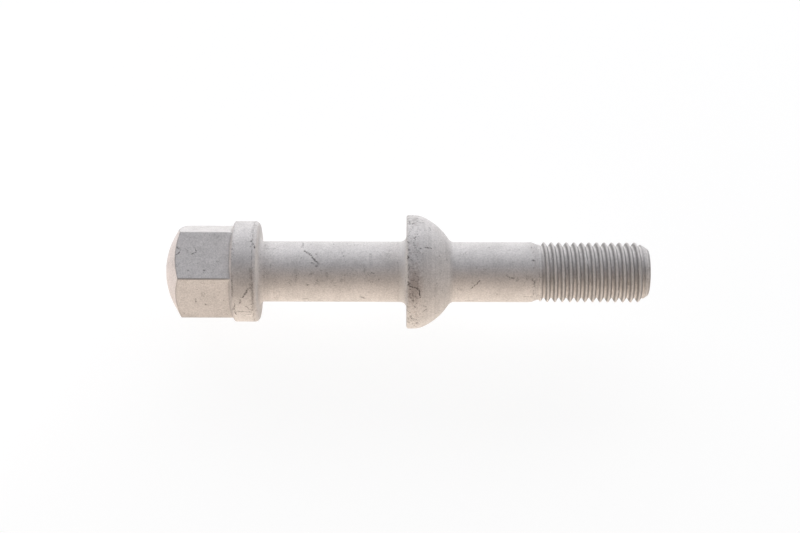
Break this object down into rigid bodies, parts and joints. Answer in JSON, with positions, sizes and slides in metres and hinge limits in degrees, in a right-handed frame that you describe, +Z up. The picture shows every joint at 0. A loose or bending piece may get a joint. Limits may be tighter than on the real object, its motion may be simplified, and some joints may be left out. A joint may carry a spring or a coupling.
{
  "type": "wheel bolt",
  "caption": "One-piece wheel bolt with a domed hexagon head, a flange, a long neck, a ball seat collar and a threaded end that screws into the hub.",
  "frame": {"origin": "on the surface that the bolt lies on, under the middle of its bounding box", "axes": "+X towards the thread's end, +Z up. The bolt lies on its flange and its wider collar, so its own axis rises 2.1 degrees towards the thread's end"},
  "size_m": [0.0956, 0.0226, 0.0226],
  "materials": {
    "coated_steel": "matt silver-grey zinc flake coating over steel, scuffed and pitted in places"
  },
  "bodies": {
    "root": {"wheel_bolt": "coated_steel"}
  },
  "joints": []
}
